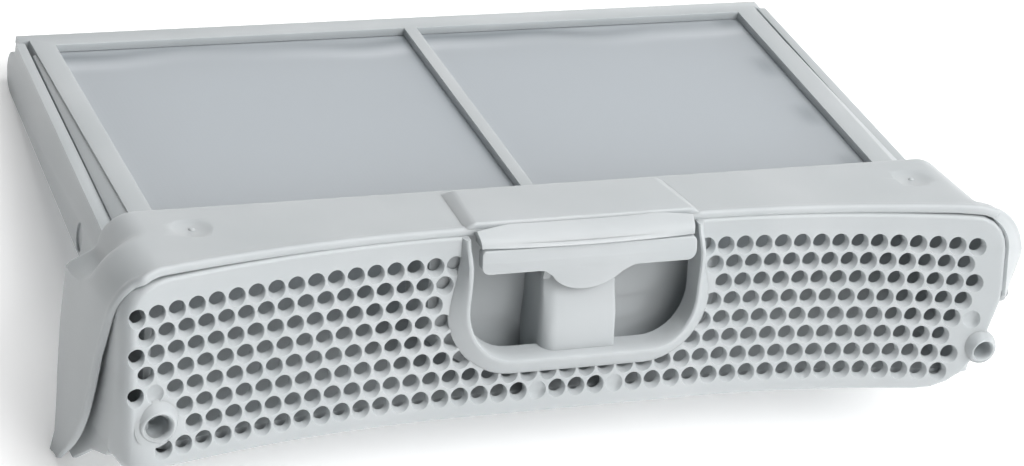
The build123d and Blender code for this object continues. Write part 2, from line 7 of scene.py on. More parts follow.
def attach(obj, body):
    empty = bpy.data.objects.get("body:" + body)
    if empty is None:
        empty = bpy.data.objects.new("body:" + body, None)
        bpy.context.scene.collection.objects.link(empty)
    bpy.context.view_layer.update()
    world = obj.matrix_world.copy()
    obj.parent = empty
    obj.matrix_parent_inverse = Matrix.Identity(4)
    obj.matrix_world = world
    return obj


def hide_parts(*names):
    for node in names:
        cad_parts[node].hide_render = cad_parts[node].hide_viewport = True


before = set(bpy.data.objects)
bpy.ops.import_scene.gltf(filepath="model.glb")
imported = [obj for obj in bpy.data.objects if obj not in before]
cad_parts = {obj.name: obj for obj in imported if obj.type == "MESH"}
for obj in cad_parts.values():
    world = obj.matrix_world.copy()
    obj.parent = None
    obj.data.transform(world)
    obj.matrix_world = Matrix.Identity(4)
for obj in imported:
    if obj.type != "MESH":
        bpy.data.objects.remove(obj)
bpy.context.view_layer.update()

# Camera: the photograph's own view. Its place and directions are in the filter's working frame, in which
# the upper mesh is level; lie_back carries that frame onto the table, where the closed filter rests on
# its two feet and its hinge end.
LIE_BACK_DEG = 18.343
TABLE_SHIFT = (0.0, -0.072720, 0.054855)
lie_back = Matrix.Translation(TABLE_SHIFT) @ Matrix.Rotation(-math.radians(LIE_BACK_DEG), 4, "X")

EYE = (-0.508762, -0.925963, 0.632117)
RIGHT = Vector((0.914795, -0.373381, 0.154065))
DOWN = Vector((-0.066578, -0.515597, -0.854241))
AHEAD = Vector((0.398393, 0.771198, -0.496524))
IMAGE_WIDTH_PX = 1024
FOCAL_PX = 3729.9
SENSOR_MM = 36.0

lens = bpy.data.cameras.new("photo_lens")
lens.sensor_fit = "HORIZONTAL"
lens.sensor_width = SENSOR_MM
lens.lens = FOCAL_PX / IMAGE_WIDTH_PX * SENSOR_MM
lens.clip_start = 0.05
lens.clip_end = 30.0
camera = bpy.data.objects.new("photo_view", lens)
bpy.context.scene.collection.objects.link(camera)
turned = Matrix((RIGHT, -DOWN, -AHEAD)).transposed().to_4x4()
camera.matrix_world = lie_back @ Matrix.Translation(EYE) @ turned
bpy.context.scene.camera = camera


# Studio: a white sweep of paper under the filter, white cloth round it that is brighter at the right, and
# three soft boxes. The paper is matt and glows a little, so it only takes a faint shadow.
def from_hex(code):
    """Linear colour with full alpha from an sRGB hex value."""
    channels = [int(code[at:at + 2], 16) / 255 for at in (1, 3, 5)]
    return [c / 12.92 if c <= 0.04045 else ((c + 0.055) / 1.055) ** 2.4 for c in channels] + [1.0]


def add_node(tree, kind, links=(), **settings):
    """Adds a node, sets its inputs and options by name, and links (input, source socket) pairs to it."""
    made = tree.nodes.new(kind)
    for name, value in settings.items():
        if name.replace("_", " ") in made.inputs:
            made.inputs[name.replace("_", " ")].default_value = value
        else:
            setattr(made, name, value)
    for name, source in links:
        tree.links.new(source, made.inputs[name])
    return made


PAPER_SIZE = 6.0
PAPER_WHITE = "#FBFBFB"
PAPER_ROUGH, PAPER_GLOSS, PAPER_GLOW = 0.9, 0.1, 0.2
SKY_WHITE = "#FFFFFF"
SKY_LEFT, SKY_RIGHT, SKY_EDGE = 0.0, 0.7, 0.8

bpy.ops.object.select_all(action="DESELECT")
bpy.ops.mesh.primitive_plane_add(size=PAPER_SIZE, location=(0, 0, 0))
paper = bpy.context.object
paper.name = "paper_sweep"
paper_finish = bpy.data.materials.new("matt_white_paper")
paper_finish.use_nodes = True
paper_shader = paper_finish.node_tree.nodes["Principled BSDF"]
paper_shader.inputs["Base Color"].default_value = from_hex(PAPER_WHITE)
paper_shader.inputs["Roughness"].default_value = PAPER_ROUGH
paper_shader.inputs["Emission Color"].default_value = from_hex(PAPER_WHITE)
paper_shader.inputs["Emission Strength"].default_value = PAPER_GLOW
paper_shader.inputs["Specular IOR Level"].default_value = PAPER_GLOSS
paper.data.materials.append(paper_finish)

sky = bpy.data.worlds.new("white_cloth")
sky.use_nodes = True
sky.node_tree.nodes["Background"].inputs["Color"].default_value = from_hex(SKY_WHITE)
toward = add_node(sky.node_tree, "ShaderNodeTexCoord").outputs["Generated"]
sideways = add_node(sky.node_tree, "ShaderNodeSeparateXYZ", [("Vector", toward)]).outputs["X"]
level = add_node(sky.node_tree, "ShaderNodeMapRange", [("Value", sideways)],
                 From_Min=-SKY_EDGE, From_Max=SKY_EDGE, To_Min=SKY_LEFT, To_Max=SKY_RIGHT)
sky.node_tree.links.new(level.outputs["Result"], sky.node_tree.nodes["Background"].inputs["Strength"])
bpy.context.scene.world = sky
bpy.context.scene.view_settings.view_transform = "Standard"


FILTER_MIDDLE = Vector((0, 0, 0.04))


def soft_box(name, place, size, watts):
    """Square area light that faces the middle of the filter."""
    light = bpy.data.lights.new(name, "AREA")
    light.size = size
    light.energy = watts
    lamp = bpy.data.objects.new(name, light)
    bpy.context.scene.collection.objects.link(lamp)
    lamp.location = place
    lamp.rotation_euler = (FILTER_MIDDLE - Vector(place)).to_track_quat("-Z", "Y").to_euler()


soft_box("key_over_right_front", (0.7, -0.7, 1.5), 1.2, 22)
soft_box("fill_front", (0.1, -1.6, 0.7), 1.4, 7)
soft_box("top", (0.3, 0.5, 1.8), 1.6, 19.5)


# Front grille: the perforated face that the air comes in through, moulded in light grey polypropylene in
# one piece with the finger cup, the post, two locating sockets and two feet. Its face leans back and its
# ends bend forward; the holes are dished at the front so that they leave the tool easily.
MM = 0.001
to_table = lie_back @ Matrix.Scale(MM, 4)

PLASTIC = "#B6BABC"
PLASTIC_COOL = "#AEB3B5"
PLASTIC_IOR = 1.49
PLASTIC_GLOSS = (0.36, 0.5)
SCATTER, SCATTER_DEEP = 0.3, 0.003
GRAIN_MM, GRAIN_DEEP = 0.5, 0.00004
CLOUD_MM = 45.0

# Spark-eroded tool finish: a satin gloss broken by a fine grain, with faint flow clouds in the tone.
# The real grain is about 0.1 mm; it is drawn at 0.5 mm so that it shows.
plastic = bpy.data.materials.new("moulded_polypropylene")
plastic.use_nodes = True
tree = plastic.node_tree
shader = tree.nodes["Principled BSDF"]
where = add_node(tree, "ShaderNodeTexCoord").outputs["Object"]
cloud = add_node(tree, "ShaderNodeTexNoise", [("Vector", where)], Scale=1000 / CLOUD_MM, Detail=2.0)
tone = add_node(tree, "ShaderNodeValToRGB", [("Fac", cloud.outputs["Fac"])])
tone.color_ramp.elements[0].position = 0.3
tone.color_ramp.elements[0].color = from_hex(PLASTIC_COOL)
tone.color_ramp.elements[1].position = 0.7
tone.color_ramp.elements[1].color = from_hex(PLASTIC)
grain = add_node(tree, "ShaderNodeTexNoise", [("Vector", where)], Scale=1000 / GRAIN_MM, Detail=3.0)
gloss = add_node(tree, "ShaderNodeMapRange", [("Value", grain.outputs["Fac"])],
                 To_Min=PLASTIC_GLOSS[0], To_Max=PLASTIC_GLOSS[1])
relief = add_node(tree, "ShaderNodeBump", [("Height", grain.outputs["Fac"])],
                  Strength=0.15, Distance=GRAIN_DEEP)
tree.links.new(tone.outputs["Color"], shader.inputs["Base Color"])
tree.links.new(gloss.outputs["Result"], shader.inputs["Roughness"])
tree.links.new(relief.outputs["Normal"], shader.inputs["Normal"])
shader.inputs["IOR"].default_value = PLASTIC_IOR
shader.inputs["Subsurface Weight"].default_value = SCATTER
shader.inputs["Subsurface Radius"].default_value = (1.0, 1.0, 1.0)
shader.inputs["Subsurface Scale"].default_value = SCATTER_DEEP

LEAN_DEG = 15.5
LEAN = math.tan(math.radians(LEAN_DEG))
CURVE_R = 508.0
FLAT_HALF = 40.0


def face_depth(x, z):
    """Depth of the leaning, curved face at a place in the front view, in millimetres."""
    past = max(abs(x) - FLAT_HALF, 0.0)
    return LEAN * z - (CURVE_R - math.sqrt(CURVE_R**2 - past**2)) / math.cos(math.radians(LEAN_DEG))


def ease(value):
    """Smooth step from 0 to 1."""
    share = min(max(value, 0.0), 1.0)
    return share * share * (3 - 2 * share)


def rounded(corners, steps=8):
    """Closed outline through (a, b, radius) corners, with an arc of a few steps at each."""
    points = []
    for at, (a, b, radius) in enumerate(corners):
        corner = Vector((a, b))
        to_last = (Vector(corners[at - 1][:2]) - corner).normalized()
        to_next = (Vector(corners[(at + 1) % len(corners)][:2]) - corner).normalized()
        if radius == 0:
            points.append(corner)
            continue
        half = to_last.angle(to_next) / 2
        centre = corner + (to_last + to_next).normalized() * (radius / math.sin(half))
        first = corner + to_last * (radius / math.tan(half)) - centre
        turn = first.angle_signed(corner + to_next * (radius / math.tan(half)) - centre)
        for step in range(steps + 1):
            points.append(centre + Matrix.Rotation(-turn * step / steps, 2) @ first)
    return points


def take(piece):
    """Selects one piece alone and makes it the active one."""
    bpy.ops.object.select_all(action="DESELECT")
    piece.select_set(True)
    bpy.context.view_layer.objects.active = piece


def edit(piece, *steps):
    """Runs edit-mode operators, each with its settings, on the whole piece."""
    take(piece)
    bpy.ops.object.mode_set(mode="EDIT")
    for operator, settings in steps:
        bpy.ops.mesh.select_all(action="SELECT")
        operator(**settings)
    bpy.ops.object.mode_set(mode="OBJECT")


def finish_with(piece, kind, **settings):
    """Adds a modifier, sets it and applies it."""
    take(piece)
    step = piece.modifiers.new(kind.lower(), kind)
    for name, value in settings.items():
        setattr(step, name, value)
    bpy.ops.object.modifier_apply(modifier=step.name)


def weld(piece, nearer_than, fill=False):
    """Merges corners that lie together, closes open ends if asked and turns the faces outwards."""
    steps = [(bpy.ops.mesh.remove_doubles, {"threshold": nearer_than})]
    if fill:
        steps.append((bpy.ops.mesh.fill_holes, {"sides": 0}))
    edit(piece, *steps, (bpy.ops.mesh.normals_make_consistent, {"inside": False}))


def round_edges(piece, width, segments, past_deg):
    """Bevels the edges that turn by more than an angle."""
    finish_with(piece, "BEVEL", width=width, segments=segments, limit_method="ANGLE",
                angle_limit=math.radians(past_deg))


def cut(piece, cutter):
    """Cuts a closed shape out of a piece and takes the shape away."""
    finish_with(piece, "BOOLEAN", operation="DIFFERENCE", object=cutter, solver="MANIFOLD")
    bpy.data.objects.remove(cutter)


def join(*pieces):
    """Joins pieces into the first one."""
    bpy.ops.object.select_all(action="DESELECT")
    for piece in pieces:
        piece.select_set(True)
    bpy.context.view_layer.objects.active = pieces[0]
    bpy.ops.object.join()
    return pieces[0]


def circle(a, b, radius, sides=24):
    """Outline of a circle round a place."""
    turns = [math.tau * k / sides for k in range(sides)]
    return [(a + radius * math.cos(turn), b + radius * math.sin(turn)) for turn in turns]


def plate(name, outline, axis, low, high):
    """Prism of an outline, extruded along X or Y between two places."""
    bpy.ops.object.select_all(action="DESELECT")
    bpy.ops.mesh.primitive_circle_add(vertices=len(outline), fill_type="NGON")
    piece = bpy.context.object
    piece.name = name
    for corner, (a, b) in zip(piece.data.vertices, outline):
        corner.co = (low, a, b) if axis == "X" else (a, low, b)
    move = (high - low, 0, 0) if axis == "X" else (0, high - low, 0)
    edit(piece, (bpy.ops.mesh.extrude_region_move, {"TRANSFORM_OT_translate": {"value": move}}),
         (bpy.ops.mesh.normals_make_consistent, {"inside": False}))
    return piece


def shaped_grid(name, columns, rows, place):
    """Grid whose corner in a column and a row is put at place(column, row)."""
    bpy.ops.object.select_all(action="DESELECT")
    bpy.ops.mesh.primitive_grid_add(x_subdivisions=columns, y_subdivisions=rows, size=2)
    piece = bpy.context.object
    piece.name = name
    for corner in piece.data.vertices:
        column = round((corner.co.x + 1) / 2 * columns)
        row = round((corner.co.y + 1) / 2 * rows)
        corner.co = place(column, row)
    return piece


def look_out(piece, towards):
    """Turns the faces over if the one that lies furthest towards a direction looks the other way."""
    furthest = max(piece.data.polygons, key=lambda face: face.center.dot(Vector(towards)))
    if furthest.normal.dot(Vector(towards)) < 0:
        piece.data.flip_normals()


SMOOTH_DEG = 38


def set_down(piece, finish, body, slot, *nodes):
    """Lays a piece on the table, gives it its finish and ties it to the CAD model."""
    piece.data.transform(to_table)
    piece.data.materials.clear()
    piece.data.materials.append(finish)
    take(piece)
    bpy.ops.object.shade_smooth_by_angle(angle=math.radians(SMOOTH_DEG))
    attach(piece, body)
    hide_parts(*nodes)


# The face's outline, with its right end slanting in below a bend, and the edge that rounds over from it.
PANEL_WALL = 2.2
END_BACK, BACK_RIGHT, END_BACK_RIGHT = 16.0, 149.0, 7.0
FACE_LEFT, FACE_RIGHT, FACE_TOP, FACE_LOW = -158.4, 152.9, 28.9, -28.5
BEND_Z, LOW_RIGHT, LOW_LEFT = 2.5, 142.0, FACE_LEFT - 1.0
FACE_LEFT_R, FACE_RIGHT_R, BEND_R, LOW_RIGHT_R, LOW_LEFT_R = 11.0, 9.5, 18.0, 22.5, 4.0
EDGE_R, LEFT_EDGE_R, LEFT_EDGE_DEEP = 1.5, 4.2, 1.7
LEFT_SPREAD = 2.0
EDGE_LEVELS, PANEL_ROWS, CORNER_STEPS = 8, 8, 10
COLUMN_PITCH, COLUMNS = 6.85, 39

outline = rounded([(FACE_LEFT, FACE_TOP, FACE_LEFT_R), (FACE_RIGHT, FACE_TOP, FACE_RIGHT_R),
                   (FACE_RIGHT, BEND_Z, BEND_R), (LOW_RIGHT, FACE_LOW, LOW_RIGHT_R),
                   (LOW_LEFT, FACE_LOW, LOW_LEFT_R)], CORNER_STEPS)
top_points = 2 * (CORNER_STEPS + 1)
top_chain, low_chain = outline[:top_points], outline[:top_points - 1:-1]
across = [FACE_LEFT + FACE_LEFT_R * (1 - math.cos(math.radians(18 * k))) for k in range(5)]
across += [FACE_LEFT + FACE_LEFT_R + COLUMN_PITCH * k for k in range(COLUMNS)]
right_run = FACE_RIGHT - across[-1]
across += [FACE_RIGHT - right_run * (1 - math.sin(math.radians(90 * k / 10))) for k in range(1, 11)]


def along(table, at):
    """Value of a table of (place, value) pairs at a place, by straight lines between them."""
    for (near, first), (far, last) in zip(table, table[1:]):
        if near <= at <= far:
            return first + (last - first) * (at - near) / max(far - near, 0.000001)
    return table[0][1] if at < table[0][0] else table[-1][1]


def rim_pair(chain, column, up):
    """Inner line of the panel's rounded edge and the way out from it, for a column of its top or bottom."""
    x = across[column]
    here = Vector((x, along(chain, x)))
    rise = (along(chain, x + 0.2) - along(chain, x - 0.2)) / 0.4
    out = Vector((-rise, 1)).normalized() * up
    if column == 0:
        out = Vector((-1, 0))
    if column == last_column:
        out = Vector((1, 0))
    radius = EDGE_R + (LEFT_EDGE_R - EDGE_R) * ease(-out.x * 1.4 - 0.3)
    return here + out * radius, here


last_column = len(across) - 1
top_rim = [rim_pair(top_chain, column, 1) for column in range(last_column + 1)]
low_rim = [rim_pair(low_chain, column, -1) for column in range(last_column + 1)]


def panel_pair(column, row):
    """Outer and inner place of a panel corner; they differ only along the panel's edge."""
    share = row / PANEL_ROWS
    return [low.lerp(top, share) for low, top in zip(low_rim[column], top_rim[column])]


def panel_place(column, row):
    inner = panel_pair(column, row)[1]
    return (inner.x, face_depth(inner.x, inner.y), inner.y)


edge_loop = [(column, 0) for column in range(last_column)]
edge_loop += [(last_column, row) for row in range(PANEL_ROWS)]
edge_loop += [(last_column - column, PANEL_ROWS) for column in range(last_column)]
edge_loop += [(0, PANEL_ROWS - row) for row in range(PANEL_ROWS)]


def edge_place(at, level):
    """Edge of the panel: rounds over from the face and runs back along the ends, top and bottom."""
    outer, inner = panel_pair(*edge_loop[at % len(edge_loop)])
    radius = (outer - inner).length
    turn = math.pi / 2 * min(level, EDGE_LEVELS) / EDGE_LEVELS
    place = inner + (outer - inner) * math.sin(turn)
    facing = (outer - inner).x / radius
    deep = radius * (1 + (LEFT_EDGE_DEEP - 1) * ease(-facing))
    depth = face_depth(inner.x, inner.y) + deep * (1 - math.cos(turn))
    if level <= EDGE_LEVELS:
        return (place.x, depth, place.y)
    spread = ease(facing) * (BACK_RIGHT - place.x) - ease(-facing) * LEFT_SPREAD * ease(-place.y / 30)
    return (place.x + spread, END_BACK + (END_BACK_RIGHT - END_BACK) * ease(facing), place.y)


panel = shaped_grid("front_panel", last_column, PANEL_ROWS, panel_place)
edge = shaped_grid("panel_edge", len(edge_loop), EDGE_LEVELS + 1, edge_place)
panel = join(panel, edge)
weld(panel, 0.005)
look_out(panel, (0, -1, 0))

# The low left corner of the face tucks back towards the foot.
TUCK_X, TUCK_Z, TUCK_BACK = -151.0, -9.0, 6.5
TUCK_WIDE, TUCK_HIGH = 11.6, 14.0
for corner in panel.data.vertices:
    near = max(TUCK_X - corner.co.x, 0) / TUCK_WIDE
    lower = ease((TUCK_Z - corner.co.z) / TUCK_HIGH)
    corner.co.y += TUCK_BACK * near**2 * lower * (1 - ease(corner.co.y / END_BACK))
finish_with(panel, "SOLIDIFY", thickness=PANEL_WALL, offset=-1)

# Holes in eight staggered rows. A flare lists depth behind the face and radius; a row lists the room that
# its holes leave at the left end, beside the cup and at the right end; blind dimples are (row, step) pairs.
HOLE_PITCH, ROW_PITCH, ROW_DROOP, DROOP_AT = 7.0, 6.2, 1.35, 150.0
HOLE_SIDES = 16
HOLE_FLARE = [(-2.0, 4.0), (0.0, 3.2), (0.9, 2.65), (6.0, 2.4)]
DIMPLE_FLARE = [(-2.0, 4.0), (0.0, 3.2), (0.7, 2.6), (1.1, 1.6)]
ENDS = (-161.5, 161.5)
CUP_HALF = 41.0
ROWS = [(4, 4.5, 18), (7.5, 8, 21.5), (4, 11.5, 18), (7.5, 8, 21.5),
        (4, 4.5, 25), (21.5, 1, 28.5), (25, None, 25), (14.5, None, 28.5)]
BLIND = [(4, -22), (4, 20), (7, -2), (7, 2)]


def hole_cutter(flare):
    """Tapered plug that leaves one dished hole, with its mouth on the face."""
    def ring(column, level):
        turn = -2 * math.pi * column / HOLE_SIDES
        return (flare[level][1] * math.cos(turn), flare[level][0], flare[level][1] * math.sin(turn))
    plug = shaped_grid("hole_plug", HOLE_SIDES, len(flare) - 1, ring)
    weld(plug, 0.001, fill=True)
    return plug


plugs = []
for flare, blind in ((HOLE_FLARE, False), (DIMPLE_FLARE, True)):
    plug = hole_cutter(flare)
    for row, (left_room, cup_room, right_room) in enumerate(ROWS):
        shift = 0.5 if row % 2 == 0 else 0.0
        for step in range(-24, 24):
            x = (step + shift) * HOLE_PITCH
            z = (3.5 - row) * ROW_PITCH - ROW_DROOP * (x / DROOP_AT) ** 2
            beside = cup_room is None or abs(x) >= CUP_HALF + cup_room
            inside = ENDS[0] + left_room <= x <= ENDS[1] - right_room
            if (row, step) in BLIND if blind else beside and inside and (row, step) not in BLIND:
                copy = plug.copy()
                copy.data = plug.data.copy()
                copy.data.transform(Matrix.Translation((x, face_depth(x, z), z)))
                bpy.context.scene.collection.objects.link(copy)
                plugs.append(copy)
    bpy.data.objects.remove(plug)
plugs = join(*plugs)

# Left and right locating sockets: x, z, bore radius, how far the mouth stands out, and a wall factor.
SOCKETS = {-1: (-149.8, -15.0, 4.2, 1.8, 1.0), 1: (147.8, -14.4, 3.2, 2.4, 0.75)}
CUP_LOW, CUP_CORNER_R, U_TOP = -9.3, 17.0, 30.0


def cup_outline(grow, grow_low):
    """U of the finger cup in the front view, from its left top round to its right top."""
    half, low, radius = CUP_HALF + grow, CUP_LOW - grow_low, CUP_CORNER_R + grow_low
    left = [Vector((-half, low + radius + (U_TOP - low - radius) * step / 9)) for step in range(9, 0, -1)]
    for step in range(11):
        turn = math.pi / 2 * step / 10
        left.append(Vector((-half + radius * (1 - math.cos(turn)), low + radius * (1 - math.sin(turn)))))
    left += [Vector((-(half - radius) * share, low)) for share in (0.66, 0.33, 0)]
    return left + [Vector((-point.x, point.y)) for point in reversed(left[:-1])]


MOUTH_ROOM, CUT_REACH, BORE_DEEP = 0.4, 60.0, 3.2
mouth_top = [(CUP_HALF + MOUTH_ROOM, CUT_REACH), (-CUP_HALF - MOUTH_ROOM, CUT_REACH)]
mouth = plate("cup_mouth", cup_outline(MOUTH_ROOM, MOUTH_ROOM) + mouth_top, "Y", -CUT_REACH, CUT_REACH)
bores = [plate("socket_bore", circle(x, z, radius), "Y", -CUT_REACH, face_depth(x, z) + BORE_DEEP)
         for x, z, radius, *_ in SOCKETS.values()]
for cutter in (mouth, plugs, *bores):
    cut(panel, cutter)

COLLAR_LIP, COLLAR_LIP_TOP, COLLAR_LIP_FALL = 4.0, 5.6, 3.6
COLLAR_FLANK, COLLAR_NARROWS, COLLAR_WALL, COLLAR_BACK = 6.8, 4.2, 2.2, 4.6
u_path = cup_outline(0, 0)


def collar_place(column, level):
    """Crater-like collar round the cup: a sloping outer flank, a rounded lip and a straight inner wall."""
    point = u_path[column]
    run = u_path[min(column + 1, len(u_path) - 1)] - u_path[max(column - 1, 0)]
    out = Vector((run.y, -run.x)).normalized()
    if out.dot(point - Vector((0, 15))) < 0:
        out = -out
    lip = COLLAR_LIP + (COLLAR_LIP_TOP - COLLAR_LIP) * ease((point.y - 6) / 14)
    lip -= COLLAR_LIP_FALL * ease((point.y - 22) / 8)
    flank = COLLAR_FLANK - COLLAR_NARROWS * ease((point.y - 2) / 24)
    profile = [(flank, 0.3), (flank * 0.55 + 0.7, -0.42 * lip), (1.7, 0.4 - lip), (1.1, 0.05 - lip),
               (0.5, 0.05 - lip), (0.0, 0.6 - lip), (0.0, COLLAR_BACK), (COLLAR_WALL, COLLAR_BACK),
               (COLLAR_WALL, 1.0), (flank, 0.3)]
    offset, depth = profile[level]
    place = point + out * offset
    return (place.x, face_depth(place.x, place.y) + depth, place.y)


collar = shaped_grid("collar", len(u_path) - 1, 9, collar_place)
weld(collar, 0.01, fill=True)

# The cup widens behind its mouth and its floor slants forward at the right. A level lists how far it is
# wider than the mouth at the sides and at the bottom, and its depth.
CUP_FLOOR, CUP_TOP, CUP_SINK, CUP_WALL = 19.0, 27.0, 0.15, 2.0
FLOOR_FROM, FLOOR_SLANT = 10.0, 7.0
CUP_LEVELS = [(1.3, 1.3, 4.2), (10.0, 5.0, 6.4), (12.0, 6.4, 18.0), (11.0, 5.6, 19.0)]


def cup_place(column, level):
    grow, grow_low, depth = CUP_LEVELS[level]
    x, z = cup_outline(grow, grow_low)[column]
    if depth > FLOOR_FROM:
        depth -= FLOOR_SLANT * ease((x - 10) / 40)
    return (x, LEAN * min(z, CUP_TOP) + depth, min(z, CUP_TOP) - CUP_SINK * depth)


cup = shaped_grid("cup_wall", len(u_path) - 1, len(CUP_LEVELS) - 1, cup_place)
bpy.ops.object.select_all(action="DESELECT")
bpy.ops.mesh.primitive_circle_add(vertices=len(u_path), fill_type="NGON")
cup_floor = bpy.context.object
for corner, column in zip(cup_floor.data.vertices, range(len(u_path))):
    corner.co = cup_place(column, len(CUP_LEVELS) - 1)
join(cup, cup_floor)
weld(cup, 0.01)
look_out(cup, (0, 1, 0))
finish_with(cup, "SOLIDIFY", thickness=CUP_WALL, offset=1)

POST_HALF, POST_TOP, POST_RISE, POST_LEFT_R, POST_RIGHT_R = 13.1, 15.5, 0.4, 5.0, 0.9
POST_WALL, POST_SIDE_RISE, TONGUE_ROOM = 2.0, 4.3, 1.9
post_plan = [Vector((-POST_HALF, CUP_FLOOR)), Vector((-POST_HALF, 9.0)), Vector((-POST_HALF, 5.0))]
for step in range(8):
    turn = math.pi / 2 * step / 7
    post_plan.append(Vector((-POST_HALF + POST_LEFT_R * (1 - math.cos(turn)),
                             POST_LEFT_R * (1 - math.sin(turn)) - POST_RISE)))
for step in range(5):
    turn = math.pi / 2 * step / 4
    post_plan.append(Vector((POST_HALF - POST_RIGHT_R * (1 - math.sin(turn)),
                             POST_RIGHT_R * (1 - math.cos(turn)) - POST_RISE)))
post_plan += [Vector((POST_HALF, 5.0)), Vector((POST_HALF, 9.0)), Vector((POST_HALF, CUP_FLOOR))]


def post_place(column, level):
    x, depth = post_plan[column]
    top = POST_TOP if depth < 1.0 else POST_TOP + POST_SIDE_RISE
    z = (-11.5 if depth < COLLAR_BACK else -18.0, -6.0, 2.0, 10.0, top)[level]
    recess = TONGUE_ROOM * ease((z - 3) / 6) * ease((3 - depth) / 3)
    return (x, LEAN * z + depth + recess, z)


post = shaped_grid("post", len(post_plan) - 1, 4, post_place)
look_out(post, (0, -1, 0))
finish_with(post, "SOLIDIFY", thickness=POST_WALL, offset=-1)
round_edges(post, 0.4, 2, 50)

PIVOT_Y, PIVOT_Z, PIN_R, EYE_R, EAR_WALL = 10.0, 22.5, 2.0, 4.2, 2.6
eye = [(PIVOT_Y + EYE_R * math.cos(turn), PIVOT_Z + EYE_R * math.sin(turn))
       for turn in [math.pi * (0.35 + 0.65 * k / 10) for k in range(11)]]
ear_outline = eye + [(PIVOT_Y - EYE_R, POST_TOP - 2), (LEAN * POST_TOP + CUP_FLOOR, POST_TOP - 2),
                     (LEAN * CUP_TOP + CUP_FLOOR, CUP_TOP - 0.2)]
ears = [plate("ear", ear_outline, "X", low, low + EAR_WALL) for low in (-POST_HALF, POST_HALF - EAR_WALL)]

# A socket's profile: wall outwards from its bore, and depth, or share of its rise where it is negative.
SOCKET_PROFILE = [(3.6, 0.8), (2.1, -0.35), (1.7, -0.75), (1.35, -0.95), (0.95, -1.0), (0.5, -0.85),
                  (0.15, -0.55), (0.0, -0.2), (0.0, 8.5), (1.3, 8.5), (1.3, 1.5)]
SOCKET_SIDES = 28


def socket(side):
    """Locating socket: a cone-flanked tube with a dished mouth."""
    middle_x, middle_z, bore, rise, thick = SOCKETS[side]
    front = face_depth(middle_x, middle_z)

    def ring(column, level):
        turn = 2 * math.pi * column / SOCKET_SIDES
        wall, forward = SOCKET_PROFILE[level]
        x = middle_x + (bore + wall * thick) * math.cos(turn)
        z = middle_z + (bore + wall * thick) * math.sin(turn)
        if level == 0:
            return (x, face_depth(x, z) + forward, z)
        return (x, front + (forward * rise if forward < 0 else forward), z)
    tube = shaped_grid("locating_socket", SOCKET_SIDES, len(SOCKET_PROFILE) - 1, ring)
    weld(tube, 0.001)
    look_out(tube, (0, -1, 0))
    return tube


WALL_HALF, FOOT_WALL, FOOT_Z, FLARE_DEG = 161.5, 2.2, -50.0, 4.0
left_foot = rounded([(18.5, FOOT_Z, 0), (5.0, -37.5, 9), (-9.0, -30.6, 3), (-9.0, -25.0, 0), (2.0, -5, 0),
                     (31.0, -5, 0), (31.0, -30.0, 3), (23.5, FOOT_Z, 1.5)], 6)
right_foot = rounded([(18.5, FOOT_Z, 0), (17.5, -30.0, 14), (17.4, 0, 0), (31.0, 0, 0), (31.0, -30.0, 3),
                      (23.5, FOOT_Z, 1.5)], 6)
feet = []
for side, foot_outline in ((-1, left_foot), (1, right_foot)):
    foot = plate("foot", foot_outline, "X", -FOOT_WALL / 2, FOOT_WALL / 2)
    foot.data.transform(Matrix.Translation((side * (WALL_HALF - FOOT_WALL / 2) + 0.6 * (1 - side), 0, 0))
                        @ Matrix.Rotation(-side * math.radians(FLARE_DEG), 4, "Y"))
    round_edges(foot, 0.5, 2, 50)
    feet.append(foot)

grille = join(panel, collar, cup, post, *ears, socket(-1), socket(1), *feet)
set_down(grille, plastic, "lower_half", "housing", "front_grille")


# Latch pin: a drawn steel rod pushed through the two ears of the post; the latch bar turns on it.
# Drawing leaves fine lines along the rod and the ends are chamfered.
STEEL = "#B9B8B5"
DRAWN_LINE_MM = 0.4

steel = bpy.data.materials.new("drawn_steel")
steel.use_nodes = True
tree = steel.node_tree
shader = tree.nodes["Principled BSDF"]
where = add_node(tree, "ShaderNodeTexCoord").outputs["Object"]
fine = 1000 / DRAWN_LINE_MM
drawn = add_node(tree, "ShaderNodeMapping", [("Vector", where)], Scale=(20.0, fine, fine))
lines = add_node(tree, "ShaderNodeTexNoise", [("Vector", drawn.outputs["Vector"])], Scale=1.0, Detail=2.0)
gloss = add_node(tree, "ShaderNodeMapRange", [("Value", lines.outputs["Fac"])], To_Min=0.25, To_Max=0.4)
tree.links.new(gloss.outputs["Result"], shader.inputs["Roughness"])
shader.inputs["Base Color"].default_value = from_hex(STEEL)
shader.inputs["Metallic"].default_value = 1.0

pin = plate("latch_pin_rod", circle(PIVOT_Y, PIVOT_Z, PIN_R), "X", -POST_HALF, POST_HALF)
round_edges(pin, 0.4, 2, 60)
set_down(pin, steel, "lower_half", "pin", "latch_pin")


# Latch bar: the lever under the lip that a finger pulls, moulded polypropylene with a thumb tongue in its
# middle. It turns on the pin by one wide eye, and its front has a soft ridge along it.
BAR_HALF, BAR_TOP, BAR_LOW, BAR_RISE, BAR_WALL = 38.6, 28.3, 20.5, 5.8, 3.6
TONGUE_R, TONGUE_LOW = 15.5, 11.4
RIDGE_Z, RIDGE_RISE = 24.4, 0.7
UPPER_SLOPE, LOWER_SLOPE, TONGUE_SLOPE = 0.36, 0.12, 0.3
EAR_ROOM, PIN_ROOM = 0.3, 0.15

